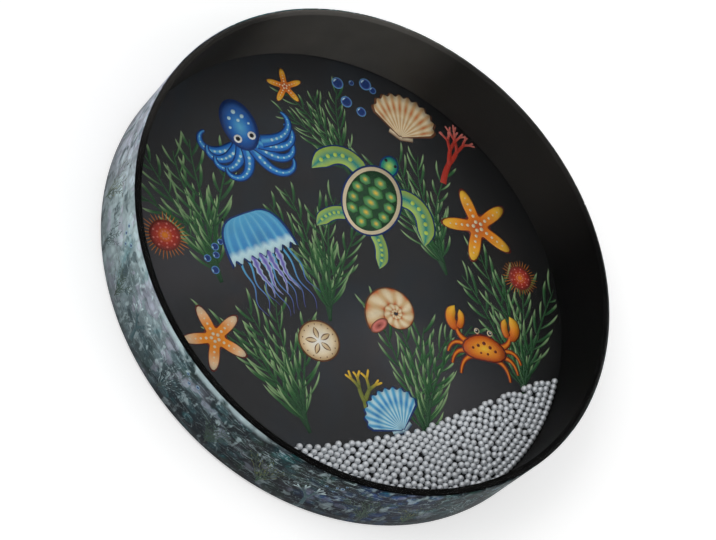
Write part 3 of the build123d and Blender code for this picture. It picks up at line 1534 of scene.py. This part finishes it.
@dataclass
class Coral(Motif):
    """A branching coral with pale tips."""

    stem: Paint = Paint.RED
    tip: Paint = Paint.PINK
    levels: int = 5

    def inks(self) -> list[Ink]:
        """Each branch forks in two, shorter, thinner and turned a little each way, with a round joint at the
        fork.

        Returns:
            Its patches, in units.
        """
        draw = np.random.default_rng(self.seed)
        made, ends = [], [(np.array([0.0, -1.0]), math.pi / 2, 0.62, 0.085)]
        for level in range(self.levels):
            following = []
            for root, way, length, half in ends:
                bend = way + draw.uniform(-0.2, 0.2)
                end = root + length * unit(bend)
                path = sweep(root, root + 0.5 * length * unit(way), end, steps=6)
                made.append(strip(path, half * np.linspace(1.0, 0.8, 6), self.growth(level), len(made)))
                joint = self.growth(level + 1, 0.0)
                made.append(oval(tuple(end), half * 0.8, half * 0.8, joint, len(made), rings=1, spokes=10))
                for hand in (-1, 1):
                    fork, shorter = hand * draw.uniform(0.25, 0.55), draw.uniform(0.6, 0.8)
                    following.append((end, bend + fork, length * shorter, half * 0.76))
            ends = following
        return made

    def growth(self, level: int, part: float = 1.0) -> Tint:
        """From stem to tip colour, by the level and the share of the way along a branch."""
        stops = (0, self.stem), (0.6, self.stem), (1, self.tip)
        return lambda t, _: ramp((level + part * t) / self.levels, *stops)


@dataclass
class Kelp(Motif):
    """A spray of swaying stems with long narrow blades that pale towards their tips."""

    lift: int = Bed.WEED
    stems: int = 5
    blades: int = 16
    splay: float = 1.15
    dark: Paint = Paint.DEEP_LEAF
    green: Paint = Paint.WEED
    pale: Paint = Paint.WEED_TIP

    def stalk(self, stem: int, draw: np.random.Generator) -> Array:
        """A stem's line: it leaves the root upright, leans out as the square of its height, and sways.

        Args:
            stem: which of the stems, from the left.
            draw: where its chances come from.

        Returns:
            Its points.
        """
        t = np.linspace(0, 1, 18)
        lean = (stem / max(self.stems - 1, 1) - 0.5) * self.splay + draw.uniform(-0.08, 0.08)
        high = draw.uniform(1.5, 2.0) * (1 - 0.22 * lean ** 2)
        sway = 0.06 * np.sin(FULL_TURN * (0.9 * t + draw.random())) * t
        return np.stack([0.3 * lean * t + lean * t ** 2 + sway, -1 + high * t], -1)

    def inks(self) -> list[Ink]:
        """Blades leave each stem left and right by turns and curve back along it.

        Returns:
            Its patches, in units.
        """
        draw = np.random.default_rng(self.seed)
        made = []
        for stem in range(self.stems):
            path, base = self.stalk(stem, draw), 6 * stem
            half = 0.018 * np.linspace(1.3, 0.3, len(path))
            made.append(strip(path, half, fade((0, self.dark), (1, self.green)), base, 1))
            heading = np.gradient(path, axis=0)
            for number in range(self.blades):
                share = 0.14 + 0.82 * number / (self.blades - 1)
                knot = int(share * (len(path) - 1))
                root, along = path[knot], heading[knot]
                hand = 1 if (number + stem) % 2 else -1
                way = math.atan2(along[1], along[0]) - hand * draw.uniform(0.45, 0.85)
                length = draw.uniform(0.30, 0.56) * (1.1 - 0.4 * share)
                out, rise = unit(way) * length, along / np.linalg.norm(along) * length
                leaf = sweep(root, root + 0.6 * out, root + 0.7 * out + 0.4 * rise, steps=9)
                tone = draw.random()
                tint = fade((0, self.dark), (0.3 + 0.4 * tone, self.green), (1, self.pale))
                made.append(blade(leaf, 0.014 + 0.007 * tone, tint, base + 1 + number % 4, 0.25))
                if tone < 0.3:
                    made.append(blade(leaf, 0.006, fade((0, self.green), (1, self.pale)), base + 5))
        return made


@dataclass
class Bubbles(Motif):
    """A drift of rising bubbles."""

    lift: int = Bed.DRIFT
    count: int = 9
    edge: Paint = Paint.VIOLET
    shine: Paint = Paint.ICE

    def inks(self) -> list[Ink]:
        """Rings on a faint fill, each with a crescent of light at its upper left.

        Returns:
            Its patches, in units.
        """
        draw = np.random.default_rng(self.seed)
        film = fade((0, Paint.NAVY), (0.7, Paint.NAVY), (0.8, self.edge), (1, Paint.SKY))
        crescent = 0.66 * unit(np.linspace(0.55, 0.95, 8) * math.pi)
        made = []
        for number in range(self.count):
            r, layer = draw.uniform(0.06, 0.17), 2 * (number % 2)
            at = (1.7 * (number + 0.5) / self.count - 0.85, draw.uniform(-0.4, 0.4))
            made.append(oval(at, r, r, film, layer, rings=8, spokes=24))
            made.append(blade(at + r * crescent, 0.12 * r, plain(self.shine), layer + 1))
        return made


class Sheet(ABC):
    """A surface that ink is printed on."""

    @abstractmethod
    def lay(self, flat: Array, lift: Array) -> Array:
        """Points of the print in space.

        Args:
            flat: places on the sheet, in metres.
            lift: height above the sheet, in metres.

        Returns:
            Points in the drum's frame.
        """


@dataclass
class HeadSheet(Sheet):
    """The lower head's inner face, its picture turned a little from the drum's X axis."""

    height: float = 0.25 * MM
    turn: float = math.radians(-10.24)
    trim: float = 196.5 * MM

    def lay(self, flat: Array, lift: Array) -> Array:
        """Turns the picture and sets it on the film; ink past the hoop is drawn in to its trim line."""
        far = np.maximum(np.hypot(flat[:, 0], flat[:, 1]), self.trim)
        return np.column_stack([turned(flat * (self.trim / far)[:, None], self.turn), self.height + lift])


@dataclass
class HoopSheet(Sheet):
    """The wrap's outer face: x runs round the hoop and y up it."""

    radius: float

    def lay(self, flat: Array, lift: Array) -> Array:
        """Rolls the sheet: angle is x / radius."""
        return spun(self.radius + lift, flat[:, 0] / self.radius, flat[:, 1])


@dataclass
class Printing:
    """Figures printed on one sheet, one piece for each kind of figure."""

    sheet: Sheet
    prefix: str
    slot: Slot
    figures: list[Motif]
    layer: float = 0.0010 * MM
    ink: float = 0.0009 * MM
    clear: float = 0.004 * MM

    def surface(self, inks: Sequence[Ink]) -> Surface:
        """All patches as one surface, each at its layer's height.

        Args:
            inks: the patches, in millimetres on the sheet.

        Returns:
            The surface, in the drum's frame.
        """
        runs, start = [], 0
        for ink in inks:
            flat, colours, index = ink.numbered(start)
            lift = np.full((len(flat), 1), self.clear + ink.layer * self.layer)
            runs.append((flat, lift, colours, *faces_of(index, columns_close=ink.ring)))
            start += len(flat)
        flat, lift, colours, quads, triangles = (np.vstack(run) for run in zip(*runs))
        return Surface(self.sheet.lay(flat * MM, lift[:, 0]), quads, triangles, colours)

    def build(self) -> None:
        """Prints the figures, kind by kind."""
        finish = InkFinish("screen_ink")
        for kind in dict.fromkeys(type(figure) for figure in self.figures):
            inks = [ink for figure in self.figures if type(figure) is kind for ink in figure.printed()]
            name = f"{self.prefix}_{kind.__name__.lower()}"
            made = self.surface(inks).piece(name, finish, self.slot)
            thick = made.modifiers.new("ink", "SOLIDIFY")
            thick.thickness, thick.offset = self.ink, -1.0


def head_figures() -> list[Motif]:
    """The lower head's picture, in millimetres right and up from its middle.

    Returns:
        The figures.
    """
    return [
        Kelp((-118, 62), 66, 10, seed=3),
        Kelp((-14, 22), 58, -6, Bed.WEED_ABOVE, seed=4),
        Kelp((86, 62), 60, 10, seed=5),
        Kelp((150, -40), 66, -8, Bed.WEED_ABOVE, seed=6),
        Kelp((-74, -68), 60, 14, Bed.WEED_ABOVE, seed=7),
        Kelp((52, -78), 64, -12, seed=8),
        Kelp((14, 132), 46, 20, seed=9, stems=4),
        Coral((128, 116), 34, -22, Bed.WEED_ABOVE, 11),
        Coral((-10, -92), 30, 10, Bed.DRIFT, 12, Paint.OLIVE, Paint.YELLOW, 4),
        Bubbles((62, 160), 34, -8, seed=13),
        Bubbles((-104, 22), 22, 60, seed=14, count=6),
        Octopus((-56, 110), 44, 14, seed=15),
        Turtle((42, 66), 54, -38),
        Starfish((138, 46), 33, 12),
        Starfish((-122, -48), 27, 20, heart=Paint.ORANGE, tip=Paint.CREAM),
        Starfish((-12, 168), 16, 0, heart=Paint.RED),
        Jellyfish((-62, 14), 46, 18, seed=16),
        SpiralShell((40, -30), 29, 30),
        Crab((114, -62), 34, -12),
        Scallop((92, 140), 26, -24),
        Scallop((16, -114), 23, 24, light=Paint.ICE, middle=Paint.SKY, dark=Paint.BLUE, edge=Paint.NAVY),
        Urchin((-146, 36), 21, seed=17),
        Urchin((166, 0), 17, seed=18),
        SandDollar((-34, -52), 18, 10),
    ]


def wrap_figures(
    girth: float,
    foot: float = 8.0,
    rise: float = 48.0,
    sizes: Spot = (16.0, 22.0),
    tilt: float = 16.0,
    drift: float = 11.0,
    aside: float = 14.0,
    count: int = 30,
    seed: int = 31,
) -> list[Motif]:
    """Weed, coral and bubbles all round the wrap in muted inks, their places, sizes and turns drawn by lot.

    Args:
        girth: the wrap's length, in millimetres.
        foot: the height that weed and coral stand at.
        rise: the height of the bubbles.
        sizes: half the height of weed and coral, from the least to the most.
        tilt: how far they lean at most, in degrees.
        drift: the size of a drift of bubbles.
        aside: how far it lies from the weed.
        count: places in a row round it.
        seed: starts the draw.

    Returns:
        The figures.
    """
    draw = np.random.default_rng(seed)
    greens = ((Paint.DEEP_LEAF, Paint.MOSS, Paint.OLIVE), (Paint.MOSS, Paint.LAGOON, Paint.MIST),
              (Paint.MOSS, Paint.DEEP_LEAF, Paint.STONE))
    made: list[Motif] = []
    for number in range(count):
        x = (number + 0.5 + draw.uniform(-0.25, 0.25)) / count * girth
        size, turn = draw.uniform(*sizes), draw.uniform(-tilt, tilt)
        dark, green, pale = greens[number % 3]
        if number % 4 == 3:
            made.append(Coral((x, foot + size), size, turn, Bed.WEED, number, Paint.LAGOON, Paint.MIST, 4))
        else:
            bed = Bed.WEED_ABOVE if number % 2 else Bed.WEED
            made.append(Kelp((x, foot + size), size, turn, bed, number, 4, 11, 1.3, dark, green, pale))
        if number % 3 == 1:
            made.append(Bubbles((x + aside, rise), drift, 3 * turn, seed=number, count=5, edge=Paint.MIST))
    return made


@dataclass(frozen=True)
class FloorFinish(Finish):
    """A white sweep: matt white that takes the shadow, lifted to white for the eye and for reflections."""

    lift: float = 0.42
    paper: Rgba = (0.86, 0.86, 0.86, 1.0)
    tooth: Rgba = (0.80, 0.80, 0.80, 1.0)

    def shader(self, recipe: Recipe) -> Shade:
        """Diffuse white plus a little light of its own for camera, mirror and see-through rays.

        Args:
            recipe: the tree that the nodes go into.

        Returns:
            The finish's shader.
        """
        seen = seen_rays(recipe)
        grain = recipe.noise(recipe.place(), 40.0)
        matt = recipe.principled(Base_Color=recipe.mix(grain * 0.06, self.paper, self.tooth), Roughness=0.9)
        glow = recipe.node("ShaderNodeEmission", sockets={"Strength": seen * self.lift})
        return recipe.node("ShaderNodeAddShader", sockets={0: matt, 1: glow})


def seen_rays(recipe: Recipe) -> Shade:
    """Tells the rays that are seen from the light that falls on things.

    Args:
        recipe: the tree of the floor or the world.

    Returns:
        1 for rays of the camera, of mirrors and through clear things, and 0 for others.
    """
    path = recipe.node("ShaderNodeLightPath", out="Is Camera Ray")
    outputs = path.socket.node.outputs
    seen = path + Shade(recipe, outputs["Is Glossy Ray"]) + Shade(recipe, outputs["Is Transmission Ray"])
    return recipe.node("ShaderNodeClamp", sockets={"Value": seen})


@dataclass
class Studio:
    """White floor and surroundings, soft lamps, and the camera where the photograph was taken from."""

    eye: Triple = (-1.0931, -0.5053, 1.5127)
    gaze: Triple = (0.5708, 0.2622, -0.7781)
    roll: float = math.radians(-48.11)
    lens: float = 125.7
    sky: float = 0.62
    sensor: float = 36.0
    sight: float = 100.0
    floor_reach: float = 30.0
    floor_gap: float = 0.3 * MM
    floor_sides: int = 64
    lamps: tuple[tuple[Triple, float, float], ...] = (
        ((-1.6, 1.2, 2.6), 1.8, 26.0),
        ((1.4, -1.8, 2.4), 2.2, 12.0),
        ((-2.1, -1.15, 1.75), 0.7, 5.0),
    )

    def floor(self) -> None:
        """A flat disc just under the drum."""
        turn = np.linspace(0, FULL_TURN, self.floor_sides, endpoint=False)
        rim = spun(self.floor_reach, turn, -self.floor_gap)
        mesh = bpy.data.meshes.new("floor")
        mesh.from_pydata(rim.tolist(), [], [list(range(len(rim)))])
        mesh.materials.append(FloorFinish("white_sweep").material())
        made = bpy.data.objects.new("floor", mesh)
        bpy.context.scene.collection.objects.link(made)

    def surroundings(self) -> None:
        """White to the eye and in reflections, and a plain even light on everything."""
        world = bpy.data.worlds.new("studio")
        world.use_nodes = True
        bpy.context.scene.world = world
        recipe = Recipe(world.node_tree)
        seen = seen_rays(recipe)
        strength = self.sky + (1.0 - self.sky) * seen
        light = recipe.node("ShaderNodeBackground", sockets={"Strength": strength})
        recipe.surface(light, "ShaderNodeOutputWorld")

    def light(self) -> None:
        """Square soft boxes turned to the drum."""
        for number, (place, width, power) in enumerate(self.lamps, 1):
            data = bpy.data.lights.new(f"softbox_{number}", "AREA")
            data.size, data.energy = width, power
            lamp = bpy.data.objects.new(data.name, data)
            lamp.location = place
            lamp.rotation_mode = "QUATERNION"
            lamp.rotation_quaternion = (-Vector(place)).to_track_quat("-Z", "Y")
            bpy.context.scene.collection.objects.link(lamp)

    def camera(self) -> None:
        """A long lens; its upright leans from the level by roll."""
        gaze = Vector(self.gaze).normalized()
        level = gaze.cross(Vector((0, 0, 1))).normalized()
        upright = level.cross(gaze) * math.cos(self.roll) + level * math.sin(self.roll)
        right = gaze.cross(upright)
        turn = Matrix((right, upright, -gaze)).transposed()
        data = bpy.data.cameras.new("camera")
        data.lens, data.sensor_width, data.clip_end = self.lens, self.sensor, self.sight
        eye = bpy.data.objects.new("camera", data)
        eye.matrix_world = Matrix.Translation(self.eye) @ turn.to_4x4()
        bpy.context.scene.collection.objects.link(eye)
        bpy.context.scene.camera = eye

    def build(self) -> None:
        """Sets the stage."""
        bpy.context.scene.view_settings.view_transform = "Standard"
        self.floor()
        self.surroundings()
        self.light()
        self.camera()


def main() -> None:
    """Builds the drum's pieces and the stage."""
    logging.basicConfig(level=logging.INFO, format="%(name)s: %(message)s")
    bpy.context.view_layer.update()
    Hoop().build()
    FilmHead(Side.UPPER).build(ClearFilmFinish("clear_polyester"), Slot.CLEAR)
    FilmHead(Side.LOWER).build(PrintGroundFinish("print_ground"), Slot.PRINT)
    Wrap().build()
    BallCharge().build()
    Printing(HeadSheet(), "print", Slot.PRINT, head_figures()).build()
    girth = FULL_TURN * Wrap().radius
    Printing(HoopSheet(Wrap().radius), "wrap_ink", Slot.WRAP, wrap_figures(girth / MM)).build()
    Studio().build()


if __name__ == "__main__":
    main()
